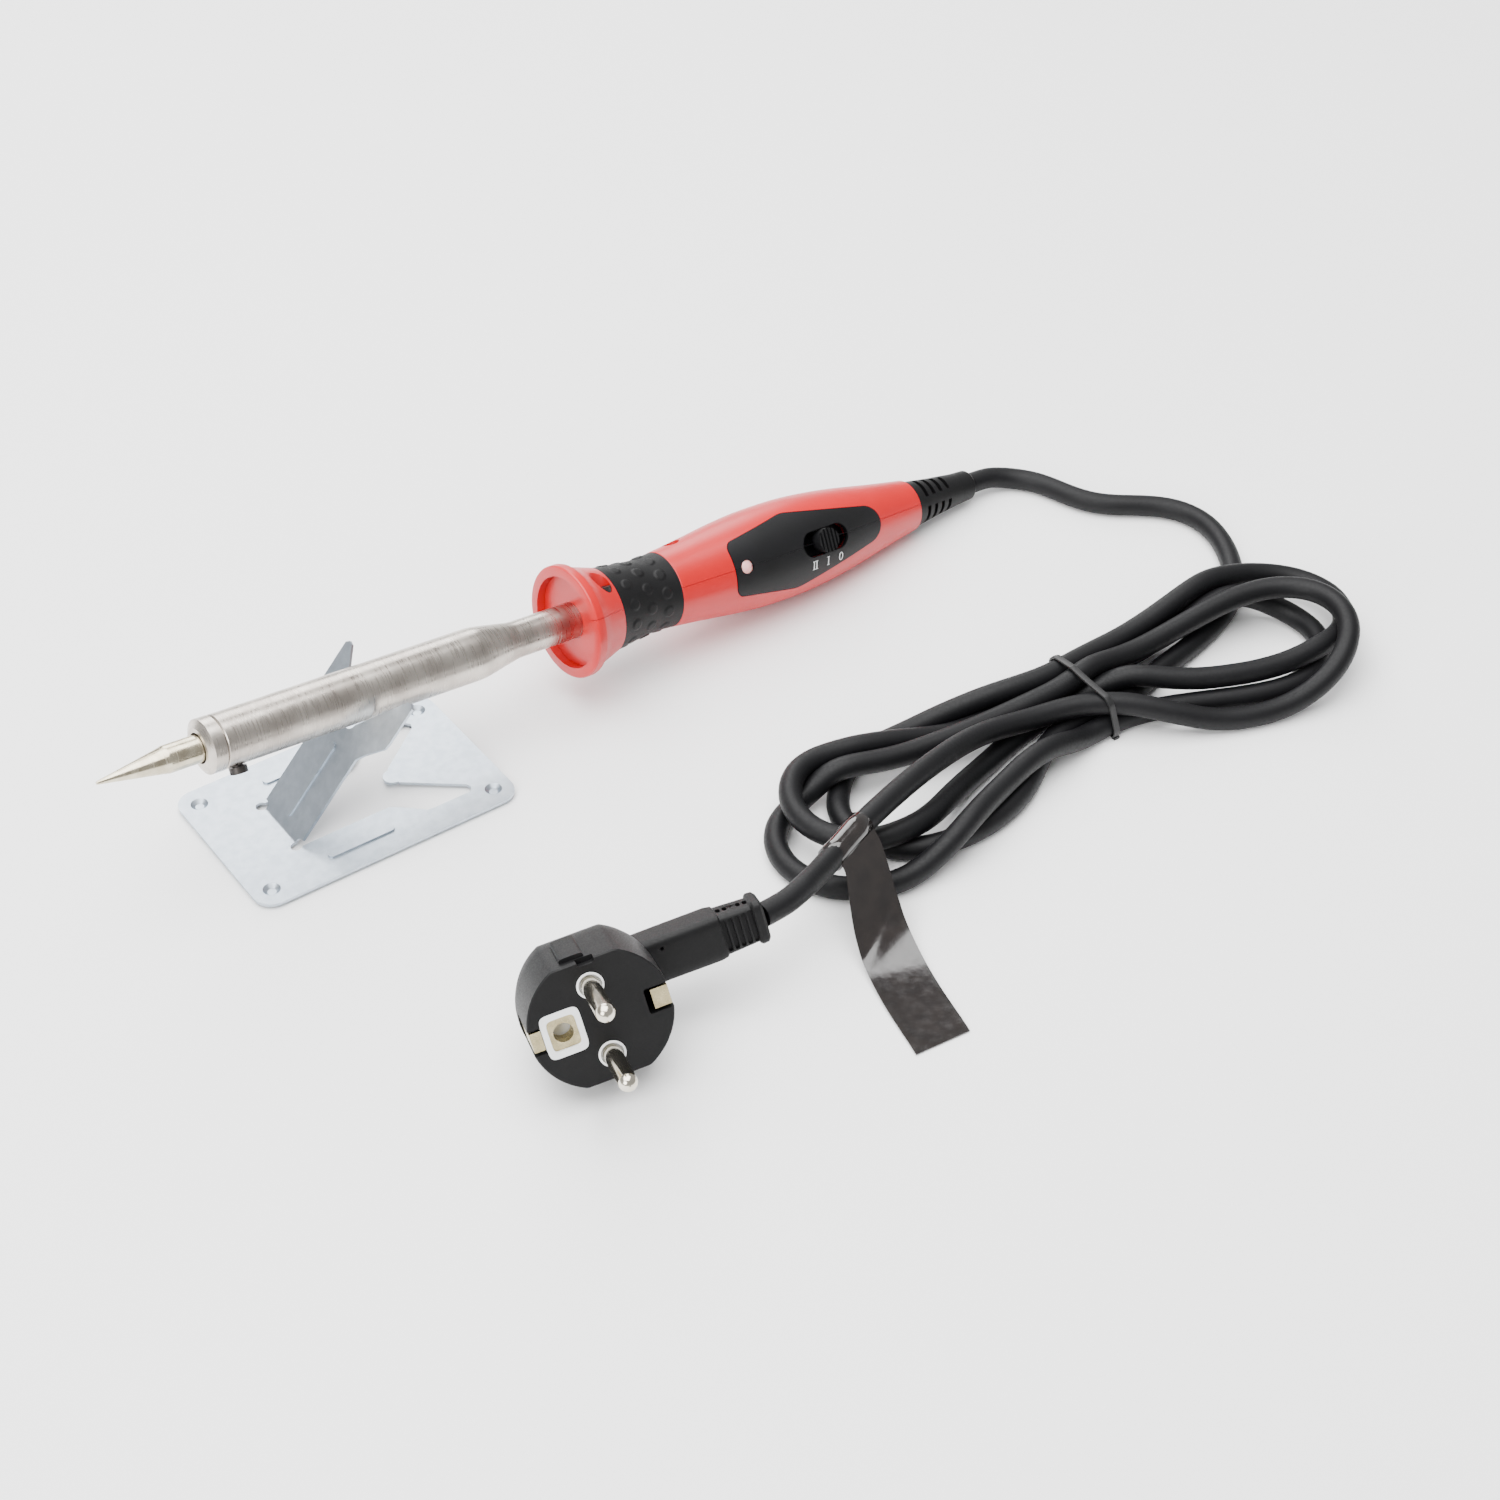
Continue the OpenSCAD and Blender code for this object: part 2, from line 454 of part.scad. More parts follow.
// a film flag: a loop round the cord, and a tail that turns square to the table as it runs down onto it
tag_w = 16;
tag_at = [-138, -119.6, 20.2];
tag_t = 0.35;
tag_r = cord_r + 0.5;
TAG_TAIL = [[1.5, -3.65, -0.8, 22], [1, -7, -2.8, 19], [-0.8, -12, -7.2, 12], [-3, -19, -14, 5], [-5.5, -28, -18, -2],
    [-8.5, -40, -19.4, -5], [-12, -57, -19.7, -5]];
tag_slope = -2;
module cord_tag() color("#2e2926") translate(desk + tag_at) {
    rotate([0, 0, 22]) rotate([0, tag_slope, 0]) rotate([90, 0, 90]) linear_extrude(tag_w, center = true)
        difference() {
            circle(r = tag_r + tag_t, $fn = 48);
            circle(r = tag_r, $fn = 48);
        }
    n = len(TAG_TAIL);
    rows = [for (k = [0, tag_t]) for (p = TAG_TAIL) for (e = [-1, 1])
        [p[0] + e * cos(p[3]) * tag_w / 2, p[1] + e * sin(p[3]) * tag_w / 2, p[2] - k]];
    faces = [for (i = [0 : n - 2]) for (q = [[2 * i, 2 * i + 1, 2 * i + 3, 2 * i + 2]])
        each [q, [for (k = [3 : -1 : 0]) q[k] + 2 * n]]];
    edge = concat([for (i = [0 : n - 1]) 2 * i], [for (i = [n - 1 : -1 : 0]) 2 * i + 1]);
    rim = [for (i = [0 : len(edge) - 1]) let (a = edge[i], b = edge[(i + 1) % len(edge)]) [b, a, a + 2 * n, b + 2 * n]];
    quads = concat(faces, rim);
    polyhedron(points = rows, faces = [for (q = quads) each [[q[2], q[1], q[0]], [q[3], q[2], q[0]]]]);
}

// ---- plug: X along its cable, Y across both pins, Z from the face into the body ----
module plug_disc(r, flat, h) linear_extrude(h) intersection() {
    circle(r = r, $fn = 96);
    square([2 * r + 2, 2 * flat], center = true);
}
module plug_body() color("#1e1e1e") on_plug() difference() {
    union() {
        plug_disc(18.1, 16.2, 14);
        translate([0, 0, 14]) hull() {
            plug_disc(18.1, 16.2, 0.01);
            translate([0, 0, 6]) plug_disc(17, 15.2, 0.01);
            translate([0, 0, 14]) plug_disc(12, 11, 0.01);
        }
        translate([10, -6.2, neck_z - 5.2]) cube([relief_x - 21, 12.4, 10.4]);
        translate([relief_x - 11, 0, neck_z]) rotate([0, 90, 0]) linear_extrude(10, scale = 0.92)
            square([8.6, 10.8], center = true);
        translate([relief_x - 2.4, 0, neck_z]) rotate([0, 90, 0]) linear_extrude(2.4)
            offset(r = 1.5, $fn = 32) square([7.4, 8.6], center = true);
        translate([30, 0, neck_z]) rotate([0, 90, 0]) cylinder(h = relief_x - 30, r = 4, $fn = 48);
    }
    // pins, earth contact, clips, cord and the relief's cross slots
    for (k = [-1, 1]) translate([0, k * pin_gap / 2, -1]) cylinder(h = 11, d = pin_d + 2.1, $fn = 48);
    translate([-14.6, -6, -1]) cube([10.2, 12, 8]);
    for (k = [-1, 1]) translate([k * 15 - 3.4, -3.4, -1]) cube([6.8, 6.8, 13]);
    translate([relief_x - 14, 0, neck_z]) rotate([0, 90, 0]) cylinder(h = 20, r = cord_r + 0.01, $fn = 48);
    for (i = [0 : 3]) for (k = [-1, 1]) {
        translate([relief_x - 10.6 + 2.1 * i, k * 6 - 1.6, neck_z - 3]) cube([1.1, 3.2, 6]);
        translate([relief_x - 10.6 + 2.1 * i, -3, neck_z + k * 4.6 - 0.9]) cube([1.1, 6, 1.8]);
    }
}
module plug_pins() color("silver") on_plug() for (k = [-1, 1]) translate([0, k * pin_gap / 2, 0]) {
    translate([0, 0, pin_d / 2 - pin_l]) cylinder(h = pin_l - pin_d / 2 - 0.35, d = pin_d, $fn = 64);
    translate([0, 0, -0.4]) cylinder(h = 10.3, d = pin_d - 0.8, $fn = 64);
    translate([0, 0, pin_d / 2 - pin_l]) sphere(d = pin_d, $fn = 64);
}
module plug_collars() color("white") on_plug() {
    for (k = [-1, 1]) translate([0, k * pin_gap / 2, -0.3]) difference() {
        cylinder(h = 10.2, d = pin_d + 2.06, $fn = 64);
        translate([0, 0, -1]) cylinder(h = 13, d = pin_d - 0.78, $fn = 64);
    }
    difference() {
        translate([-14.58, -5.98, 0]) cube([10.16, 11.96, 6.9]);
        translate([-13.1, -4.2, -1]) cube([7.2, 8.4, 6]);
    }
}
module earth_contact() color("gold") on_plug() difference() {
    union() {
        translate([-13.05, -4.1, 0.6]) cube([7.1, 8.2, 0.7]);
        translate([-9.5, 0, 0.6]) cylinder(h = 4.2, r = 3.1, $fn = 48);
    }
    translate([-9.5, 0, -1]) cylinder(h = 7, r = 2.5, $fn = 48);
}
module earth_clips() color("gold") on_plug() for (k = [-1, 1]) {
    translate([k * 17.2 - 0.35, -2.6, 0.4]) cube([0.7, 5.2, 11.58]);
    translate([k > 0 ? 13.2 : -17.5, -2.6, 0.4]) cube([k > 0 ? 4.3 : 2.8, 5.2, 0.7]);
}

stand_sheet();
bit();
bit_collar();
bit_screw();
barrel();
bit_sleeve();
heater_former();
heater_coil();
heater_wrap();
heater_bead();
front_disc();
tube_clamp();
shell_upper();
shell_lower();
shell_screws();
grip_sleeve();
panel_upper();
panel_lower();
pilot_lens();
pilot_lamp();
switch_knob();
switch_body();
diode();
terminal_block();
heater_leads();
earth_lead();
cord_clamp();
clamp_screws();
strain_relief();
cord_inner();
cord_lead();
cord_hank();
cord_tie();
cord_tail();
cord_tag();
plug_body();
plug_pins();
plug_collars();
earth_contact();
earth_clips();
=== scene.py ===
# %% [markdown]
# A soldering iron rests on a bent sheet-metal stand, and its mains cord lies in a tied hank beside it.
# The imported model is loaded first: it fixes every size and place, in metres, with the table at z = 0.
# %% Load the frame
import math
import bpy
import bmesh
import numpy as np
from mathutils import Euler, Matrix, Vector


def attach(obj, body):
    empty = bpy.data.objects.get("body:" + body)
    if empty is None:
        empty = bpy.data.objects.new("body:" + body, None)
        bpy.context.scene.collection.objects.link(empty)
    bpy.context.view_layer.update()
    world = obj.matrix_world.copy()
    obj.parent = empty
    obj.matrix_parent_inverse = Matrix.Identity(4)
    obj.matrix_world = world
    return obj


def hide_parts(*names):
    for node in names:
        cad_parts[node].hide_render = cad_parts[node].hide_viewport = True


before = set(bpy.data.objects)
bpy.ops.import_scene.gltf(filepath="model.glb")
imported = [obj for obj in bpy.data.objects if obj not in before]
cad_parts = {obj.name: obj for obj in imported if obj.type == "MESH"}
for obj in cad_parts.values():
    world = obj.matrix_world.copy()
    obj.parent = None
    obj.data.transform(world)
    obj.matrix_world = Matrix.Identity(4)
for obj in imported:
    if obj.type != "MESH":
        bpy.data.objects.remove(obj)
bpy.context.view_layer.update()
MM = 0.001

# %% [markdown]
# The camera stands to the front left, above the bit's side of the stand, and looks down at the middle of the layout.
# A 67 mm lens keeps the long iron from looking stretched, and nothing is blurred by depth of field.
# %% Camera
camera = bpy.data.objects.new("camera", bpy.data.cameras.new("camera"))
bpy.context.scene.collection.objects.link(camera)
camera.location = Vector((-320.1, -525.8, 507.2)) * MM
look_at = Vector((23.4, -46.4, 0)) * MM
camera.rotation_euler = (look_at - camera.location).to_track_quat("-Z", "Y").to_euler()
camera.data.lens = 67.2
camera.data.sensor_width = 36
camera.data.clip_start = 0.01
bpy.context.scene.camera = camera
print("camera", round((look_at - camera.location).length, 3), "m from what it looks at")

# %% [markdown]
# The cord is a 6.4 mm rubber lead, 1.56 m long. Its free stretches repeat the CAD route. Between them it runs seven
# times through the tie, and the points below only say which run lies where, and on which layer.
# %% Route of the cord
CORD_R = 3.2 * MM
DESK = np.array([0.14726, 0.01166, 0])
LEAD = DESK + [[0, 0, 0.00541], [0.008, -0.0003, 0.0048], [0.0155, -0.003, 0.0039], [0.021, -0.0088, 0.0034],
    [0.023, -0.0162, 0.0033], [0.0248, -0.0238, 0.0033], [0.0288, -0.0302, 0.0033], [0.035, -0.0346, 0.0033],
    [0.0412, -0.039, 0.0033], [0.0462, -0.0448, 0.0033], [0.0484, -0.0525, 0.0033], [0.0475, -0.0605, 0.0033],
    [0.0445, -0.0685, 0.0033], [0.0395, -0.0768, 0.0033], [0.033, -0.085, 0.0033]]
TAIL = DESK + [[-0.057, -0.102, 0.0105], [-0.070, -0.1005, 0.0125], [-0.082, -0.102, 0.015],
    [-0.094, -0.1055, 0.0175], [-0.106, -0.109, 0.0193], [-0.118, -0.1128, 0.020], [-0.130, -0.1165, 0.020],
    [-0.139, -0.120, 0.0202], [-0.146, -0.1232, 0.0204], [-0.152, -0.1263, 0.0207], [-0.158, -0.1289, 0.0211],
    [-0.165, -0.1309, 0.0214], [-0.1728, -0.1316, 0.0217]]
# x, y, z in millimetres: under everything to the tie, along the near side and round the small left loop
RUN_1 = [[168, -80.8, 3.3], [152, -85.8, 3.3], [136, -89, 3.3], [122, -91, 3.3], [108, -91.5, 3.3], [94, -96, 3.3],
    [82, -102, 3.3], [70, -107, 3.3], [58, -110.5, 3.3], [46, -111.5, 3.3], [35, -108.5, 3.3], [27, -101.5, 3.3],
    [24, -91.5, 3.3], [26, -82, 3.3], [32, -74.5, 3.3], [41, -70, 3.3], [50.5, -68.5, 3.4], [60, -69, 4.4],
    [70, -70.8, 6.6], [81, -74, 8.8], [94, -77, 9.6]]
# out to the right on top, round, and back down into the tie
RUN_2 = [[108, -79, 9.7], [122, -77.7, 9.8], [135, -76.8, 10.8], [147, -76.2, 12.5], [159, -75.8, 13.8],
    [171, -75.3, 13.4], [182, -76.8, 11.5], [191, -81.5, 9.8], [196.5, -89, 9], [197, -98, 9], [193, -105.5, 9],
    [185.5, -110.8, 9.4], [177, -113, 9.7], [168, -112.5, 9.7], [159, -110.8, 9.7], [149, -108, 9.7],
    [139, -103.5, 9.8], [129, -97, 9.8], [121, -91.5, 9.6], [114, -87.5, 7], [106, -85.3, 4]]
# the raised left loop
RUN_3 = [[94, -86, 3.4], [80, -89.5, 3.6], [66, -93.5, 5], [52, -99, 8], [40, -104.5, 9.8], [30, -105.5, 10],
    [20.5, -102.5, 10.5], [14, -96, 11], [11.5, -87.5, 11], [13.5, -79, 11], [19.5, -72.5, 11], [29, -69.5, 10.5],
    [40, -71, 10], [50, -73, 9.6], [60, -74.5, 7.5], [70, -76, 4.6], [82, -77, 3.4]]
# out to the right on the bench, round, and back
RUN_4 = [[95, -78, 3.3], [108, -78.5, 3.3], [122, -79, 3.3], [136, -79, 3.8], [149, -78.6, 6.4], [160, -78.8, 9],
    [170, -80, 9.6], [178, -83.8, 8], [184, -90.5, 5.2], [186, -99, 3.6], [183, -107, 3.3], [176.5, -113, 3.3],
    [168, -116, 3.3], [158, -115.3, 3.3], [146, -110.5, 3.3], [134, -105.5, 3.3], [121, -100.5, 3.3], [108, -98, 3.3]]
# the outer left loop on the bench
RUN_5 = [[95, -98.5, 4.5], [82, -101, 8.5], [68, -105.5, 9.7], [54, -110, 9.7], [41, -113.5, 8.5],
    [29, -115.5, 5.5], [18.5, -114, 3.6], [9, -109, 3.3], [3.2, -101, 3.3], [2, -91.5, 3.3], [5.5, -82.5, 3.3],
    [12.5, -76.5, 3.4], [21, -74.5, 4.5], [30.5, -76, 7.5], [40, -78.5, 9.6], [52, -80.5, 9.7], [66, -82, 9.7],
    [80, -83.3, 9.7], [94, -84.5, 9.9]]
# out over the top, round the outermost right loop, and through the tie for the last time
RUN_6 = [[108, -85.3, 10.6], [122, -84.2, 10.3], [135, -83.8, 10.8], [147.5, -84, 12], [160.5, -84.6, 13.6],
    [172, -86, 14.6], [181.5, -90.3, 15.4], [187.3, -97.5, 16], [188, -106, 16.2], [184.5, -114, 15.4],
    [178, -120, 13], [169, -123.3, 9.8], [159, -122.8, 6.3], [149.5, -121, 4.4], [140, -118, 4.2], [131, -113.5, 6],
    [123, -108, 9], [115.5, -101.5, 10], [108, -96, 10.6], [99, -91.8, 10.6]]
hank = np.array(RUN_1 + RUN_2 + RUN_3 + RUN_4 + RUN_5 + RUN_6) * MM
drawn = np.vstack([LEAD, hank, TAIL])
print(len(drawn), "points on the route")


# %% [markdown]
# A smooth curve through the points still lets runs cut through each other where they cross. Real rubber can't, so the
# line is settled: it is stiff, its weight pulls it down, and runs closer than one diameter push each other apart.
# %% Smooth curve through points
def smooth_line(points, step):
    """A Catmull-Rom curve through the points, with a point every step metres."""
    p = np.asarray(points, float)
    p = np.vstack([2 * p[0] - p[1], p, 2 * p[-1] - p[-2]])
    t = np.linspace(0, 1, 12, endpoint=False)[:, None]
    parts = []
    for a, b, c, d in zip(p[:-3], p[1:-2], p[2:-1], p[3:]):
        m, n = (c - a) / 2, (d - b) / 2
        parts.append((2 * t**3 - 3 * t**2 + 1) * b + (t**3 - 2 * t**2 + t) * m
            + (3 * t**2 - 2 * t**3) * c + (t**3 - t**2) * n)
    line = np.vstack(parts + [p[-2:-1]])
    way = np.r_[0, np.cumsum(np.linalg.norm(np.diff(line, axis=0), axis=1))]
    at = np.linspace(0, way[-1], int(round(way[-1] / step)) + 1)
    return np.array([np.interp(at, way, line[:, k]) for k in range(3)]).T


# %% Settle the cord
def settle(line, radius, rounds=420):
    start, n = line.copy(), len(line)
    i = np.arange(n)
    step = np.linalg.norm(line[1] - line[0])
    apart = np.abs(i[:, None] - i[None]) * step > 8 * radius
    free = np.ones((n, 1))
    free[:3] = free[-5:] = 0
    for _ in range(rounds):
        bow = np.zeros_like(line)
        bow[1:-1] = line[:-2] - 2 * line[1:-1] + line[2:]
        stiff = np.zeros_like(line)
        stiff[1:-1] = bow[:-2] - 2 * bow[1:-1] + bow[2:]
        line = line + free * (0.02 * (start - line) - 0.11 * stiff - [0, 0, 0.00003])
        for _ in range(3):
            gap = line[:, None] - line[None]
            far = np.linalg.norm(gap, axis=2)
            over = np.where(apart, np.maximum(0, 2 * radius + 0.00012 - far), 0)
            push = (gap / np.maximum(far, 1e-9)[:, :, None] * (over / 2)[:, :, None]).sum(1)
            line = line + free * push / np.maximum(1, 0.55 * (over > 0).sum(1))[:, None]
            line[:, 2] = np.maximum(line[:, 2], radius + 0.00003)
    return line


cord_line = settle(smooth_line(drawn, 0.004), CORD_R)

# %% [markdown]
# Three helpers make every mesh. One turns points and faces into a smooth-shaded piece that rides on a CAD body. One
# wraps rings of points round a line, for things that follow a path. The last cuts one piece with another.
# %% Mesh helpers
def piece(name, verts, faces, body, stands_for=(), finish=None, sharp=35):
    mesh = bpy.data.meshes.new(name)
    mesh.from_pydata([tuple(v) for v in verts], [], faces)
    made = bpy.data.objects.new(name, mesh)
    bpy.context.scene.collection.objects.link(made)
    work = bmesh.new()
    work.from_mesh(mesh)
    bmesh.ops.recalc_face_normals(work, faces=work.faces)
    work.to_mesh(mesh)
    work.free()
    mesh.shade_smooth()
    mesh.set_sharp_from_angle(angle=math.radians(sharp))
    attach(made, body)
    if stands_for:
        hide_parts(*stands_for)
    return made


def wrap(line, radii, sides=20):
    """Rings round a line, carried along it without twist, closed at both ends."""
    line = [Vector(p) for p in line]
    verts, faces, side = [], [], None
    for k, at in enumerate(line):
        way = (line[min(k + 1, len(line) - 1)] - line[max(k - 1, 0)]).normalized()
        side = way.orthogonal() if side is None else side - way * side.dot(way)
        side.normalize()
        up = way.cross(side)
        for j in range(sides):
            turn = 2 * math.pi * j / sides
            verts.append(at + radii[k] * (math.cos(turn) * side + math.sin(turn) * up))
    for k in range(len(line) - 1):
        for j in range(sides):
            a, b = k * sides + j, k * sides + (j + 1) % sides
            faces.append((a, b, b + sides, a + sides))
    faces += [tuple(range(sides))[::-1], tuple(range(len(verts) - sides, len(verts)))]
    return verts, faces


def cut(target, tool, how="DIFFERENCE", keep=False):
    """Cuts one piece with another and writes the result into its mesh."""
    step = target.modifiers.new("cut", "BOOLEAN")
    step.operation, step.solver, step.object = how, "EXACT", tool
    bpy.context.view_layer.update()
    done = bpy.data.meshes.new_from_object(target.evaluated_get(bpy.context.evaluated_depsgraph_get()))
    target.modifiers.clear()
    target.data = done
    if not keep:
        bpy.data.objects.remove(tool)
    return target


fine = smooth_line(cord_line, 0.002)
cord = piece("mains_cord", *wrap(fine, [CORD_R] * len(fine)), "iron",
    ["cord_lead", "cord_hank", "cord_tail"], "cord_rubber", 60)
print(len(fine), "rings on the cord")

# %% [markdown]
# The plug is one soft PVC moulding: a deep disc with two flats that takes the pins, a neck that leaves it sideways, and
# a slotted strain relief. The disc and the neck are lofted from outlines, joined, and then cut with the pockets.
# %% Plug moulding
PLUG_AT = Vector(DESK) + Vector((-225.5, -139, 22.65)) * MM
PLUG_TURN = Euler([math.radians(a) for a in (-111.7, -8.86, -15.74)], "XYZ")
PLUG = Matrix.Translation(PLUG_AT) @ PLUG_TURN.to_matrix().to_4x4()


def loft(name, rings, sharp=30, **extra):
    """A solid through rings of equal length, each a list of [x, y, z] in millimetres on the plug."""
    n = len(rings[0])
    verts = [PLUG @ (Vector(p) * MM) for ring in rings for p in ring]
    faces = [(k * n + j, k * n + (j + 1) % n, (k + 1) * n + (j + 1) % n, (k + 1) * n + j)
        for k in range(len(rings) - 1) for j in range(n)]
    faces += [tuple(range(n))[::-1], tuple(range(len(verts) - n, len(verts)))]
    return piece(name, verts, faces, "iron", sharp=sharp, **extra)


def flatted(r, flat, z):
    return [(r * math.cos(a), max(-flat, min(flat, r * math.sin(a))), z)
        for a in np.linspace(0, 2 * math.pi, 144, endpoint=False)]


def soft_box(wide, high, power=0.35, steps=72):
    """A rounded rectangle, as [across, up] points."""
    turns = np.linspace(0, 2 * math.pi, steps, endpoint=False)
    return [(math.copysign(abs(math.cos(a)) ** power, math.cos(a)) * wide,
        math.copysign(abs(math.sin(a)) ** power, math.sin(a)) * high) for a in turns]


NECK_Z, PIN_Y, EARTH_X = 23, 9.5, -9.5
SLOT_FIRST, SLOT_PITCH = 37.5, 1.75
plug = loft("plug_moulding", [flatted(r, r - 1.9, z) for r, z in ((17.8, 0), (18.1, 0.35), (18.1, 13.6), (17.9, 16.2),
    (17.3, 18.6), (16.2, 21), (14.6, 23.4), (12.9, 25.4), (11.2, 26.9), (9, 27.8))])
neck = [[(x, y, NECK_Z + z) for y, z in soft_box(w, h)] for x, w, h in ((6, 6, 4.9), (20, 6.1, 5.05), (34.6, 6.15, 5.1),
    (36.4, 5.9, 4.8), (36.8, 5.5, 4.4), (45, 5.1, 4.1), (45.3, 5.6, 4.6), (45.8, 5.9, 4.9), (47.3, 5.8, 4.8),
    (48, 5.1, 4.1))]
cut(plug, loft("neck", neck), "UNION")
cut(plug, loft("tab", [[(x - 2.2, y - 15.4, z) for x, y in soft_box(3.1, 1.9)] for z in (2.6, 3, 13.4, 13.8)]), "UNION")
cut(plug, loft("notch", [[(x + 0.6, y - 16.6, z) for x, y in soft_box(2.2, 1.7)] for z in (-1, 2)]))
for y in (-PIN_Y, PIN_Y):
    cut(plug, loft("pin_hole", [[(a, b + y, z) for a, b in soft_box(3.42, 3.42, 1)] for z in (-1, 10)]))
cut(plug, loft("earth_pocket", [[(x + EARTH_X, y, z) for x, y in soft_box(5.1, 6, 0.3)] for z in (-1, 7)]))
for x in (-15, 15):
    cut(plug, loft("clip_pocket", [[(x + a, b, z) for a, b in soft_box(3.4, 3.4, 0.15)] for z in (-1, 12)]))
for k in range(5):
    x = SLOT_FIRST + SLOT_PITCH * k
    for side in (-1, 1):
        cut(plug, loft("slot", [[(x + a, b, NECK_Z + side * z) for a, b in soft_box(0.6, 4.3, 0.3)] for z in (3.3, 7)]))
        cut(plug, loft("hole", [[(x + a, side * z, NECK_Z + b) for a, b in soft_box(0.62, 1, 0.8)] for z in (3.4, 8)]))
cut(plug, loft("pip_hole", [[(21 + a, b - 3.4, z) for a, b in soft_box(0.5, 0.5, 1)] for z in (15, 19)]))
cut(plug, loft("cord_hole", [[(x, a, NECK_Z + b) for a, b in soft_box(3.21, 3.21, 1)] for x in (38, 50)]))
plug.data.shade_smooth()
plug.data.set_sharp_from_angle(angle=math.radians(30))
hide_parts("plug_body")


def tray(name, outer, inner, low, high, floor):
    """A shallow white cup let into the plug's face, with a wall and a floor."""
    return loft(name, [[(*p, z) for p in edge]
        for edge, z in ((inner, floor), (inner, low), (outer, low), (outer, high))])


liners = []
for name, y in (("pin_liner_one", -PIN_Y), ("pin_liner_two", PIN_Y)):
    rim, well = [[(a, b + y) for a, b in soft_box(r, r, 1)] for r in (3.4, 2.9)]
    liners.append(tray(name, rim, well, -0.25, 8, 1.5))
rim, well = [[(x + EARTH_X, y) for x, y in soft_box(w, h, 0.3)] for w, h in ((5.05, 5.95), (3.6, 4.25))]
liners.append(tray("earth_liner", rim, well, 0, 6.8, 5.4))
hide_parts("plug_collars")
print("plug", len(plug.data.polygons), "faces,", len(liners), "white liners")

# %% [markdown]
# The tie is a thin covered wire pulled round all seven runs: its outline is the hull of the runs where it crosses them.
# %% Tie round the hank
tie_x = DESK[0] - 0.0385
crossings = [fine[i] + (fine[i + 1] - fine[i]) * (tie_x - fine[i][0]) / (fine[i + 1][0] - fine[i][0])
    for i in range(len(fine) - 1) if (fine[i][0] - tie_x) * (fine[i + 1][0] - tie_x) < 0 and fine[i][1] < -0.06]


def hull_2d(points):
    """The corners of the convex outline round flat points, in order."""
    points = sorted(map(tuple, points))
    found = []
    for run in (points, points[::-1]):
        edge = []
        for p in run:
            while len(edge) > 1 and ((edge[-1][0] - edge[-2][0]) * (p[1] - edge[-2][1])
                    - (edge[-1][1] - edge[-2][1]) * (p[0] - edge[-2][0])) <= 0:
                edge.pop()
            edge.append(p)
        found += edge[:-1]
    return np.array(found)


around = [(c[1] + 0.0038 * math.cos(a), max(c[2] + 0.0038 * math.sin(a), 0.0005))
    for c in crossings for a in np.linspace(0, 2 * math.pi, 40, endpoint=False)]
outline = hull_2d(around)
outline = smooth_line(np.column_stack([np.zeros(len(outline) + 1), np.vstack([outline, outline[:1]])]), 0.0008)[:-1]
verts, faces = [], []
for k, p in enumerate(outline):
    before, after = outline[k - 1], outline[(k + 1) % len(outline)]
    out = np.array([0, (after - before)[2], -(after - before)[1]])
    out = out / np.linalg.norm(out)
    lean = 0.0012 * math.sin(2 * math.pi * k / len(outline))
    for u, v in ((-0.9, -0.35), (0, -0.5), (0.9, -0.35), (1.05, 0), (0.9, 0.3), (0, 0.42), (-0.9, 0.3), (-1.05, 0)):
        verts.append(np.array([tie_x + lean + u * MM, p[1], p[2]]) + out * v * MM)
for k in range(len(outline)):
    for j in range(8):
        a, b, c = 8 * k + j, 8 * k + (j + 1) % 8, (8 * k + 8) % len(verts)
        faces.append((a, b, c + (j + 1) % 8, c + j))
tie = piece("wire_tie", verts, faces, "iron", ["cord_tie"], "tie_wire")
print("the tie holds", len(crossings), "runs,", round(float(outline[:, 2].max() - outline[:, 2].min()), 4), "m high")

# %% [markdown]
# A flag of printed film is folded round the cord and its free end hangs to the table. Film can't stretch, so its rows
# keep their width while they turn from square to the cord to flat on the table, and it creases where it turns.
# %% Film flag
flag_at = DESK + [-0.138, -0.1196, 0.0202]
FLAG_W, FLAG_T = 16 * MM, 0.3 * MM
# x, y, z in millimetres from the loop, and the direction of the row in degrees
rows = np.array([[1.5, -3.65, -0.8, 22], [1, -7, -2.8, 19], [-0.8, -12, -7.2, 12], [-3, -19, -14, 5],
    [-5.5, -28, -18, -2], [-8.5, -40, -19.4, -5], [-12, -57, -19.7, -5]])
strip = smooth_line(rows[:, :3] * MM, 0.0008)
reach = np.r_[0, np.cumsum(np.linalg.norm(np.diff(strip, axis=0), axis=1))]
known = np.r_[0, np.cumsum(np.linalg.norm(np.diff(rows[:, :3] * MM, axis=0), axis=1))]
turned = np.radians(np.interp(reach / reach[-1], known / known[-1], rows[:, 3]))
across = np.linspace(-1, 1, 21)
verts, faces = [], []
for under in (0, 1):
    for k, p in enumerate(strip):
        row = np.array([math.cos(turned[k]), math.sin(turned[k]), 0])
        for e in across:
            crease = 0.5 * math.exp(-((reach[k] * 1000 - 14 - 5 * e) / 2.2) ** 2)
            crease -= 0.35 * math.exp(-((reach[k] * 1000 - 21 + 6 * e) / 2.5) ** 2)
            curl = 0.25 * e * e * min(1, reach[k] / 0.03)
            lift = (crease + curl) * MM * min(1, (reach[-1] - reach[k]) / 0.006 + 0.25)
            verts.append(flag_at + p + row * e * FLAG_W / 2 + [0, 0, lift - under * FLAG_T])
n, w = len(strip), len(across)
for k in range(n - 1):
    for j in range(w - 1):
        a = k * w + j
        faces.append((a, a + 1, a + w + 1, a + w))
        faces.append((a + n * w + w, a + n * w + w + 1, a + n * w + 1, a + n * w))
rim = list(range(w)) + [k * w + w - 1 for k in range(1, n)] + list(range(n * w - 2, (n - 1) * w - 1, -1))
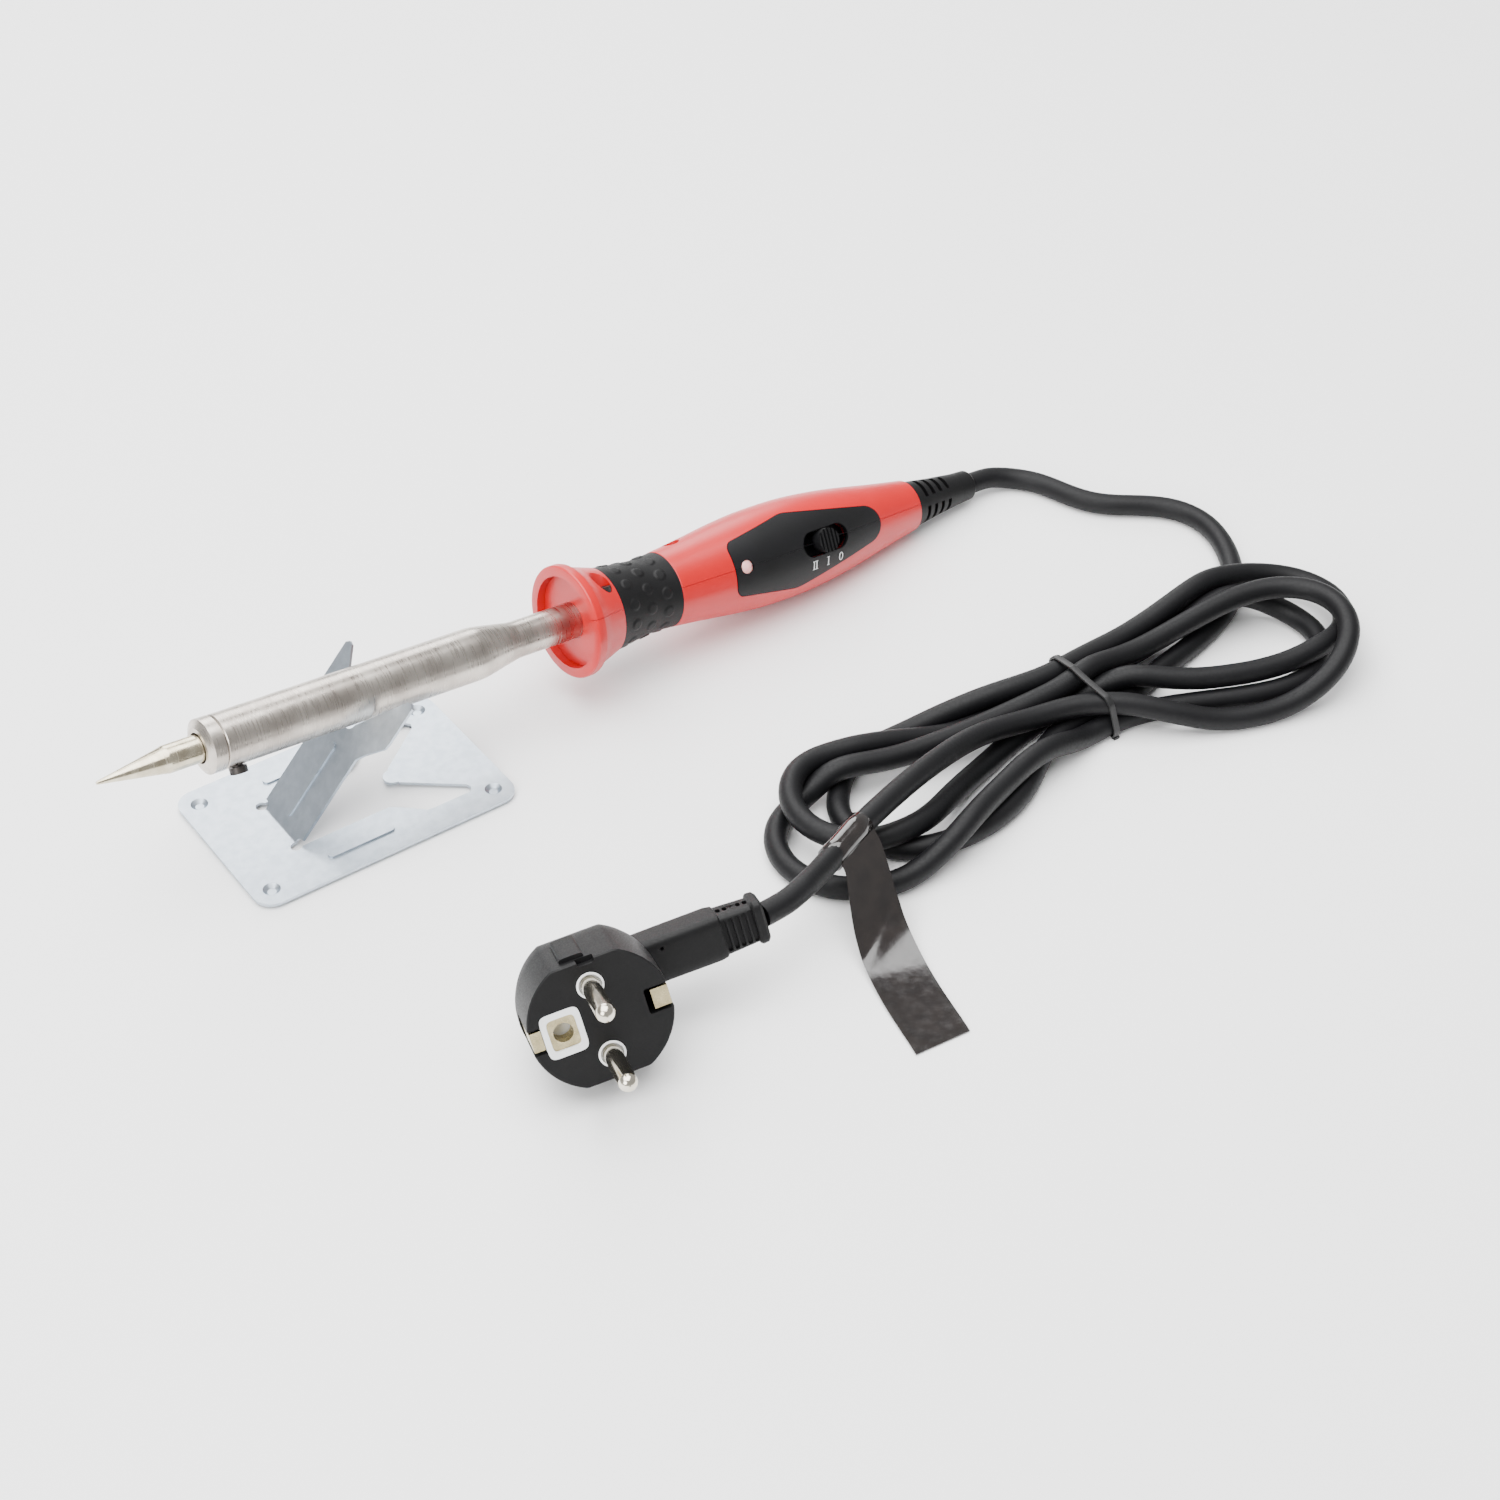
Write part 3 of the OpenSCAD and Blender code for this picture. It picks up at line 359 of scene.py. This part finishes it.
rim += [k * w for k in range(n - 2, 0, -1)]
faces += [(a, b, b + n * w, a + n * w) for a, b in zip(rim, rim[1:] + rim[:1])]
flag = piece("film_flag", verts, faces, "iron", ["cord_tag"], "tag_film", 50)
print("flag", round(float(reach[-1]), 3), "m of free end")

# %% [markdown]
# The folded end of the film is wrapped tightly round the cord as a short sleeve. Everything that lies on the cord is
# made by now.
# %% Film round the cord
grip = [k for k, p in enumerate(fine) if abs((p - flag_at)[0]) < 0.012 and p[1] < -0.09 and p[2] > 0.015]
middle = fine[min(grip, key=lambda k: abs((fine[k] - flag_at)[0]))]
way = Vector((math.cos(math.radians(22)), math.sin(math.radians(22)), 0.03)).normalized()
ends = [Vector(middle) + way * e * FLAG_W / 2 for e in (-1, -0.98, -0.5, 0, 0.5, 0.98, 1)]
band = piece("film_band", *wrap(ends, [CORD_R + x * MM for x in (0.3, 0.5, 0.52, 0.5, 0.53, 0.5, 0.3)], 40), "iron",
    (), "tag_film", 60)

# %% [markdown]
# Colours are written the way a paint card gives them, as sRGB hex, and one function turns them into linear light.
# A second small function adds a shader node with its settings and links.
# %% Colour and node helpers
def light(hex_code):
    parts = [int(hex_code[k:k + 2], 16) / 255 for k in (1, 3, 5)]
    return tuple(c / 12.92 if c <= 0.04045 else ((c + 0.055) / 1.055) ** 2.4 for c in parts) + (1,)


def add(tree, kind, inputs=(), **settings):
    made = tree.nodes.new("ShaderNode" + kind)
    for key, value in settings.items():
        setattr(made, key, value)
    for key, value in dict(inputs).items():
        if isinstance(value, bpy.types.NodeSocket):
            tree.links.new(value, made.inputs[key])
        else:
            made.inputs[key].default_value = value
    return made


# the iron's own axes: X from the tip of the bit along the iron, Z out of the switch panel
TIP = Vector((-147.2581, -4.2877, 45.0566)) * MM
IRON_TURN = Euler((math.radians(57.8), math.radians(7.655), math.radians(3.1)), "XYZ")
IRON = Matrix.Translation(TIP) @ IRON_TURN.to_matrix().to_4x4()
print("iron's axis", [round(x, 3) for x in IRON.to_3x3().col[0]])

# %% [markdown]
# Every finish here is a base colour that drifts a little, a roughness that drifts with it, and a fine relief. The sizes
# of the drift and the grain are given in millimetres, and the shader's noise is scaled to them.
# %% One recipe for a finish
def surface(name, tones, rough, grain_mm, depth_mm, patch_mm=12, metal=0, stretch=(1, 1, 1), along=None, **body):
    mat = bpy.data.materials.new(name)
    mat.use_nodes = True
    tree = mat.node_tree
    tree.nodes.clear()
    place = add(tree, "TexCoord").outputs["Object"]
    if along is not None:
        at, turn = along
        place = add(tree, "Mapping", {"Vector": place, "Location": at, "Rotation": turn}, vector_type="TEXTURE")
        place = place.outputs[0]
    patch = add(tree, "TexNoise", {"Vector": place, "Scale": 1 / (patch_mm * MM), "Detail": 3.0})
    tone = add(tree, "ValToRGB", {"Fac": patch.outputs[0]})
    tone.color_ramp.elements[0].position, tone.color_ramp.elements[1].position = 0.35, 0.65
    tone.color_ramp.elements[0].color, tone.color_ramp.elements[1].color = light(tones[0]), light(tones[1])
    pulled = add(tree, "Mapping", {"Vector": place, "Scale": stretch})
    grain = add(tree, "TexNoise", {"Vector": pulled.outputs[0], "Scale": 1 / (grain_mm * MM), "Detail": 4.0})
    dull = add(tree, "MapRange", {"Value": grain.outputs[0], "From Min": 0.3, "From Max": 0.7,
        "To Min": rough[0], "To Max": rough[1]})
    relief = add(tree, "Bump", {"Height": grain.outputs[0], "Distance": depth_mm * MM, "Strength": 1.0})
    shader = add(tree, "BsdfPrincipled", {"Base Color": tone.outputs[0], "Roughness": dull.outputs[0],
        "Metallic": metal, "Normal": relief.outputs[0], **body})
    add(tree, "OutputMaterial", {"Surface": shader.outputs[0]})
    return mat


IRON_AXES = (TIP, tuple(IRON_TURN))
IRON_GRAIN = {"along": IRON_AXES}
# %% [markdown]
# The finishes are named for what they are. Galvanised sheet is dull zinc with faint spangles. Drawn steel tube keeps
# the rings of its polishing. The bit is nickel plate, smoother and warmer, and the heater inside is clay and mica.
# %% Finishes of the stand and the heater
zinc = surface("galvanised_sheet", ("#AEB7C1", "#BAC3CC"), (0.3, 0.44), 0.5, 0.005, 2.5, 1)
nickel_bit = surface("nickel_plated_bit", ("#B9AF98", "#D2C9B2"), (0.16, 0.3), 0.8, 0.004, 3, 1,
    (1, 0.1, 0.1), **IRON_GRAIN)
tube_steel = surface("drawn_steel_tube", ("#A79F97", "#C6BFB6"), (0.22, 0.38), 0.5, 0.004, 9, 1,
    (1, 0.06, 0.06), **IRON_GRAIN)
plain_steel = surface("plain_steel", ("#77767A", "#8E8C8C"), (0.35, 0.5), 0.4, 0.004, 5, 1)
dark_screw = surface("blackened_screw", ("#3A3838", "#4E4A48"), (0.35, 0.5), 0.4, 0.004, 2, 1)
fired_clay = surface("fired_ceramic", ("#D9D4C8", "#E6E2D8"), (0.55, 0.7), 0.6, 0.01, 4)
heat_wire = surface("oxidised_heater_wire", ("#5E5142", "#7B6A52"), (0.4, 0.55), 0.5, 0.03, 3, 1,
    (1, 0.05, 0.05), **IRON_GRAIN)
mica_sheet = surface("mica_wrap", ("#B49A66", "#CDB88A"), (0.3, 0.5), 1.2, 0.01, 6)
print("heater finishes ready")

# %% [markdown]
# ABS comes from the mould satin, with a fine spark texture, in red for the shells and black for the panel. Black
# rubber and plastic throw back little light, so their specular level is set low to keep them deep.
# %% Finishes of the handle
red_abs = surface("satin_red_abs", ("#B80008", "#C0030E"), (0.3, 0.42), 0.35, 0.004, 20, **{"IOR": 1.53})
black_abs = surface("satin_black_abs", ("#0D0D0E", "#111113"), (0.42, 0.55), 0.3, 0.005, 16,
    **{"Specular IOR Level": 0.22})
grip_rubber = surface("moulded_grip_rubber", ("#09090A", "#0D0D0E"), (0.46, 0.62), 0.35, 0.012, 10,
    **{"Specular IOR Level": 0.22})
pink_lens = surface("pale_pink_lens", ("#E9A09C", "#F2B9B2"), (0.12, 0.22), 0.8, 0.002, 2, **{"IOR": 1.49,
    "Subsurface Weight": 0.35, "Subsurface Scale": 0.001, "Coat Weight": 0.4})
lamp_glass = surface("neon_lamp_glass", ("#D9855A", "#E39A6C"), (0.1, 0.2), 1, 0.002, 2)
grey_moulding = surface("dark_moulding", ("#26262A", "#303034"), (0.4, 0.55), 0.5, 0.006, 6)
white_moulding = surface("white_moulding", ("#E4E6E6", "#EFF0F0"), (0.35, 0.48), 0.5, 0.004, 8)
print("handle finishes ready")

# %% [markdown]
# The cord's rubber and the plug's PVC are duller than the handle. The pins and the earth strips are plated, so they
# are the only bright things at this end. The film is glossy, and its clear coat catches the lamps.
# %% Finishes of the cord and the plug
cord_rubber = surface("matt_cord_rubber", ("#08080A", "#0C0C0E"), (0.46, 0.6), 0.7, 0.012, 14,
    **{"Specular IOR Level": 0.22})
tie_cover = surface("covered_tie_wire", ("#0A0A0B", "#101011"), (0.4, 0.55), 0.5, 0.01, 5)
plug_pvc = surface("matt_plug_pvc", ("#070708", "#0B0B0C"), (0.45, 0.6), 0.4, 0.008, 12,
    **{"Specular IOR Level": 0.22})
pin_plating = surface("nickel_pin_plating", ("#CFC8B8", "#DCD6C8"), (0.12, 0.22), 0.8, 0.003, 3, 1)
contact_plate = surface("plated_contact_strip", ("#A79B78", "#BFB38E"), (0.22, 0.36), 0.8, 0.006, 3, 1)
film = surface("glossy_black_film", ("#120E0D", "#1B1614"), (0.08, 0.22), 2.5, 0.05, 4, **{"Coat Weight": 0.6,
    "Coat Roughness": 0.1})
white_ink = surface("printed_white_ink", ("#CFD1D2", "#DADCDC"), (0.45, 0.6), 0.2, 0.002, 2)
sleeving = surface("glass_sleeving", ("#B7A988", "#CBBE9F"), (0.7, 0.85), 0.4, 0.05, 2)
earth_cover = surface("green_yellow_insulation", ("#5F8A1E", "#B3B42C"), (0.4, 0.5), 0.5, 0.004, 4)
print("cord and plug finishes ready")

# %% [markdown]
# Every CAD node takes its finish, though the ones that a finer piece stands for stay hidden. The cord, the tie, the
# flag and the plug were made before the finishes were, so they take theirs here too.
# %% Finish every CAD node
coats = {zinc: "stand_sheet", nickel_bit: "bit", tube_steel: "bit_collar barrel",
    plain_steel: "bit_sleeve tube_clamp cord_clamp clamp_screws", dark_screw: "bit_screw shell_screws",
    fired_clay: "heater_former heater_bead", heat_wire: "heater_coil", mica_sheet: "heater_wrap",
    red_abs: "front_disc shell_upper shell_lower", black_abs: "panel_upper panel_lower switch_knob",
    grip_rubber: "grip_sleeve strain_relief", pink_lens: "pilot_lens", lamp_glass: "pilot_lamp",
    grey_moulding: "switch_body diode", white_moulding: "terminal_block plug_collars", sleeving: "heater_leads",
    earth_cover: "earth_lead", cord_rubber: "cord_inner cord_lead cord_hank cord_tail", tie_cover: "cord_tie",
    film: "cord_tag", plug_pvc: "plug_body", pin_plating: "plug_pins", contact_plate: "earth_contact earth_clips"}
for coat, names in coats.items():
    for name in names.split():
        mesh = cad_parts[name].data
        mesh.materials.clear()
        mesh.materials.append(coat)
for part, coat in ((cord, cord_rubber), (tie, tie_cover), (flag, film), (band, film), (plug, plug_pvc),
        *((part, white_moulding) for part in liners)):
    part.data.materials.clear()
    part.data.materials.append(coat)
print(sum(len(names.split()) for names in coats.values()), "nodes finished")

# %% [markdown]
# Most of the iron is round about one axis. A turned piece is an outline of stations and radii in millimetres that is
# carried round that axis, as on a lathe. A prism is a flat outline raised out of the switch panel's side.
# %% Turned solids in the iron's axes
HANDLE = [0.766, 0.82, 0.882, 0.943, 0.986, 1, 0.994, 0.957, 0.897, 0.815, 0.72, 0.63, 0.545]
stations = [(178 + 94 * k / 12, 14.5 * share, 0) for k, share in enumerate(HANDLE)]
contour = smooth_line(stations, 1.2)[:, :2]


def radius_at(station):
    return float(np.interp(station, contour[:, 0], contour[:, 1]))


def turned(name, profile, body, steps=160, **extra):
    """A ring-shaped outline of [station, radius] points in millimetres, turned about the iron's axis."""
    turn = np.linspace(0, 2 * math.pi, steps, endpoint=False)
    verts = [IRON @ (Vector((s, r * math.cos(a), r * math.sin(a))) * MM) for s, r in profile for a in turn]
    n = len(profile)
    faces = [(k * steps + j, k * steps + (j + 1) % steps, (k + 1) % n * steps + (j + 1) % steps,
        (k + 1) % n * steps + j) for k in range(n) for j in range(steps)]
    return piece(name, verts, faces, body, **extra)


def prism(name, outline, low, high, body="iron"):
    """A flat outline of [along, across] points in millimetres, raised out of the panel's side of the iron."""
    n = len(outline)
    verts = [IRON @ (Vector((x, y, z)) * MM) for z in (low, high) for x, y in outline]
    faces = [tuple(range(n))[::-1], tuple(range(n, 2 * n))]
    faces += [(k, (k + 1) % n, n + (k + 1) % n, n + k) for k in range(n)]
    return piece(name, verts, faces, body)


def disc(x, y, r, steps=64):
    return [(x + r * math.cos(a), y + r * math.sin(a)) for a in np.linspace(0, 2 * math.pi, steps, endpoint=False)]


print("handle", len(contour), "stations, widest", round(contour[:, 1].max() * 2, 1), "mm")

# %% [markdown]
# The bit is a plated rod ground to a point, and the barrel is a steel tube drawn down to a thinner neck. Both are
# turned in 128 steps, so that the long highlights on them run smoothly. The bit has its own body, because it pulls out.
# %% Bit and barrel
BIT = [(0, 0.02), (0, 0.3), (0.25, 0.45), (18.6, 3.52), (19.1, 3.7), (19.6, 3.75), (71.5, 3.75), (72, 3.3), (72, 0.02)]
BARREL = [(33.9, 6.6), (33.9, 7.1), (34.2, 7.4), (113.3, 7.4), (114.6, 7.3), (116.5, 7.02), (124.6, 5.55),
    (126.4, 5.25), (128, 5.15), (160, 5.15), (160, 4.55), (128, 4.55), (116.5, 6.2), (113.5, 6.6)]
for name, profile, body, node, slot, coat in (("turned_bit", BIT, "bit", "bit", "bit_metal", nickel_bit),
        ("drawn_tube", BARREL, "iron", "barrel", "barrel_steel", tube_steel)):
    made = turned(name, profile, body, 128, stands_for=[node], finish=slot, sharp=20)
    made.data.materials.append(coat)
print("bit and barrel turned")

# %% [markdown]
# The handle is two red ABS shells, turned in outline like a screwdriver's and moulded with a pocket for the black
# panel. A turned body is cut with the pocket, the slot and the screw holes, and then halved at the parting line.
# %% Outlines of the panel and its slot
PANEL_OUT = [*disc(199, -5.2, 3), *disc(199, 5.2, 3), *disc(218.4, 0, 11), *disc(247, 0, 5.6)]
panel_edge = hull_2d(PANEL_OUT)
middle_s = 225
grown = [((x - middle_s) * 1.004 + middle_s, y * 1.012) for x, y in panel_edge]
slot_edge = hull_2d([*disc(229.04 - 5, 0, 3.8), *disc(229.04 + 5, 0, 3.8)])
lens_s = 200
print("panel", round(max(panel_edge[:, 0]) - min(panel_edge[:, 0]), 1), "mm long")


# %% Shells
def solid_core(name, lift):
    return turned(name, [(179.5, 2), *[(s, r + lift) for s, r in contour if 180 < s < 271], (271.5, 2)], "iron")


outer = [(144.5, 13.3), (144.5, 15.7), (144.65, 16.1), (145, 16.3), (146.9, 16.3), (147.4, 16.15), (149, 14.95),
    (151, 14.2), (156.4, 12.55), (156.5, 12.4), (156.5, 10.45), (163, 9.6), (170, 8.95), (177.9, 9.1), (177.95, 10.9),
    (178.2, 11.12)]
inner = [(271.8, 5.1), (267.5, 5.1), (267.5, 6.6)] + [(s, r - 2.3) for s, r in contour[::-4] if 183 < s < 264]
inner += [(180, 8.4), (177, 6.95), (150.5, 6.95), (150.5, 5.35), (147.95, 5.35), (147.95, 13.3)]
handle = turned("handle", outer + [tuple(p) for p in contour[1:-1]] + [(271.7, 7.95), (272, 7.6)] + inner, "iron", 192)
pocket = cut(prism("pocket", grown, 3, 24), solid_core("core", -1.25))
cut(handle, pocket)
cut(handle, prism("slot", slot_edge, 6, 24))
cut(handle, prism("lamp_hole", disc(lens_s, 0, 2.05), 5, 24))
for s, z in ((153, 9.7), (185.5, 0)):
    hole = wrap([IRON @ (Vector((s, y, z)) * MM) for y in (5.5, 8, 20)], [2.6 * MM] * 3, 40)
    cut(handle, piece("hole", *hole, "iron"))


def halve(whole, name, side, node, coat, gap=0.05):
    """One half of a moulding, cut off square at the parting line and closed there."""
    half = bpy.data.objects.new(name, whole.data.copy())
    bpy.context.scene.collection.objects.link(half)
    work = bmesh.new()
    work.from_mesh(half.data)
    across = IRON.to_3x3().col[1] * side
    gone = bmesh.ops.bisect_plane(work, geom=[*work.verts, *work.edges, *work.faces], dist=1e-7,
        plane_co=TIP + across * gap * MM, plane_no=across, clear_inner=True)
    rim = [e for e in gone["geom_cut"] if isinstance(e, bmesh.types.BMEdge)]
    bmesh.ops.triangle_fill(work, edges=rim, use_beauty=True)
    bmesh.ops.recalc_face_normals(work, faces=work.faces)
    work.to_mesh(half.data)
    work.free()
    half.data.materials.clear()
    half.data.materials.append(coat)
    half.data.shade_smooth()
    half.data.set_sharp_from_angle(angle=math.radians(28))
    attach(half, "iron")
    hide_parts(node)
    return half


shells = [halve(handle, "handle_upper", 1, "shell_upper", red_abs),
    halve(handle, "handle_lower", -1, "shell_lower", red_abs)]
bpy.data.objects.remove(handle)
print("shells", [len(o.data.polygons) for o in shells], "faces")

# %% [markdown]
# The panel is a black moulding that follows the handle's curve and stands a hair proud of it. It is split along the
# same parting line as the shells, with the switch slot and the lamp's hole across the split.
# %% Switch panel
panel = cut(solid_core("panel", 0.22), prism("edge", panel_edge, 3, 24), "INTERSECT")
cut(panel, solid_core("core", -1.2))
cut(panel, prism("slot", slot_edge, 4, 24))
cut(panel, prism("lamp_hole", disc(lens_s, 0, 2.05), 4, 24))
halve(panel, "panel_far", 1, "panel_upper", black_abs, 0.03)
halve(panel, "panel_near", -1, "panel_lower", black_abs, 0.03)
bpy.data.objects.remove(panel)
print("panel halves cut")

# %% [markdown]
# The three steps are printed beside the slot in white ink, as generic marks: two bars, one bar and a nought. Each is a
# film of ink 0.05 mm thick that follows the panel's curve.
# %% Printed marks
def ink(name, cells, at_s, at_y):
    """Flat quads of [along, across] corners in millimetres, laid on the panel."""
    verts, faces = [], []
    for cell in cells:
        base = len(verts)
        for lift in (0.24, 0.3):
            for u, v in cell:
                s, y = at_s + u, at_y + v
                verts.append(IRON @ (Vector((s, y, math.sqrt((radius_at(s) + lift) ** 2 - y * y))) * MM))
        faces += [(base, base + 1, base + 2, base + 3)[::-1], (base + 4, base + 5, base + 6, base + 7)]
        faces += [(base + k, base + (k + 1) % 4, base + 4 + (k + 1) % 4, base + 4 + k) for k in range(4)]
    made = piece(name, verts, faces, "iron", (), "white_plastic")
    made.data.materials.append(white_ink)
    return made


def bar(u, v, w, h):
    return [(u - w / 2, v - h / 2), (u + w / 2, v - h / 2), (u + w / 2, v + h / 2), (u - w / 2, v + h / 2)]


stroke = [bar(0, 0, 0.34, 2.3), bar(0, 1.15, 0.95, 0.16), bar(0, -1.15, 0.95, 0.16)]
ink("mark_one", stroke, 229, -6.1)
ink("mark_two", [[(u + k, v) for u, v in cell] for k in (-0.5, 0.5) for cell in stroke], 223.8, -6.1)
oval = [(math.cos(a), math.sin(a)) for a in np.linspace(0, 2 * math.pi, 33)]
ink("mark_nought", [[(0.5 * a[0], 1.0 * a[1]), (0.82 * a[0], 1.2 * a[1]), (0.82 * b[0], 1.2 * b[1]),
    (0.5 * b[0], 1.0 * b[1])] for a, b in zip(oval, oval[1:])], 234.2, -6.1)
print("three marks, 5.2 mm apart")

# %% [markdown]
# A waisted rubber sleeve covers the front of the handle. Three staggered rings of low round studs keep fingers from
# slipping; each stud stands 0.3 mm proud, so the mesh there has to be finer than half a millimetre.
# %% Grip sleeve
waist = smooth_line([(156.52, 12.4, 0), (159, 11.95, 0), (162.5, 11.5, 0), (170, 10.75, 0), (174, 10.8, 0),
    (177.98, 11.05, 0)], 0.3)[:, :2]
STEPS = 240
verts, faces = [], []
for s, r in waist:
    for j in range(STEPS):
        turn = 2 * math.pi * j / STEPS
        stud = 0
        for ring_s, shift in ((161, 0), (167, 15), (173, 0)):
            off = (math.degrees(turn) - shift + 15) % 30 - 15
            away = math.hypot(s - ring_s, math.radians(off) * r)
            stud = max(stud, min(1, max(0, (1.75 - away) / 0.35)))
        rr = r + 0.28 * stud * stud * (3 - 2 * stud)
        verts.append(IRON @ (Vector((s, rr * math.cos(turn), rr * math.sin(turn))) * MM))
outer_n = len(waist)
for s, r in ((177.98, 9.15), (170, 8.97), (163, 9.65), (156.52, 10.47)):
    verts += [IRON @ (Vector((s, r * math.cos(2 * math.pi * j / STEPS), r * math.sin(2 * math.pi * j / STEPS))) * MM)
        for j in range(STEPS)]
n = outer_n + 4
faces = [(k * STEPS + j, k * STEPS + (j + 1) % STEPS, (k + 1) % n * STEPS + (j + 1) % STEPS, (k + 1) % n * STEPS + j)
    for k in range(n) for j in range(STEPS)]
sleeve = piece("studded_sleeve", verts, faces, "iron", ["grip_sleeve"], "black_rubber", 40)
sleeve.data.materials.append(grip_rubber)
print("sleeve", len(sleeve.data.vertices), "points")

# %% [markdown]
# The set is a pale table that runs up to a white room, with one large soft light over it and two weaker ones.
# %% Table and lights
table = bpy.data.objects.new("table_top", bpy.data.meshes.new("table_top"))
bpy.context.scene.collection.objects.link(table)
half = 6
table.data.from_pydata([(-half, -half, 0), (half, -half, 0), (half, half, 0), (-half, half, 0)], [], [(0, 1, 2, 3)])
table.data.materials.append(surface("pale_table", ("#F8F8F8", "#FAFAFA"), (0.75, 0.85), 4, 0.002, 300))
room = bpy.data.worlds.new("white_room")
bpy.context.scene.world = room
room.use_nodes = True
room.node_tree.nodes["Background"].inputs["Color"].default_value = light("#FFFFFF")
room.node_tree.nodes["Background"].inputs["Strength"].default_value = 0.55
for name, place, size, power in (("over", (-0.15, 0.1, 1.3), 1.6, 62), ("left", (-1.3, -0.6, 0.8), 0.9, 22),
        ("back", (0.6, 1.4, 0.9), 1.0, 22)):
    lamp = bpy.data.objects.new(name, bpy.data.lights.new(name, "AREA"))
    bpy.context.scene.collection.objects.link(lamp)
    lamp.location = place
    lamp.rotation_euler = (Vector((0.02, -0.05, 0)) - lamp.location).to_track_quat("-Z", "Y").to_euler()
    lamp.data.size, lamp.data.energy = size, power
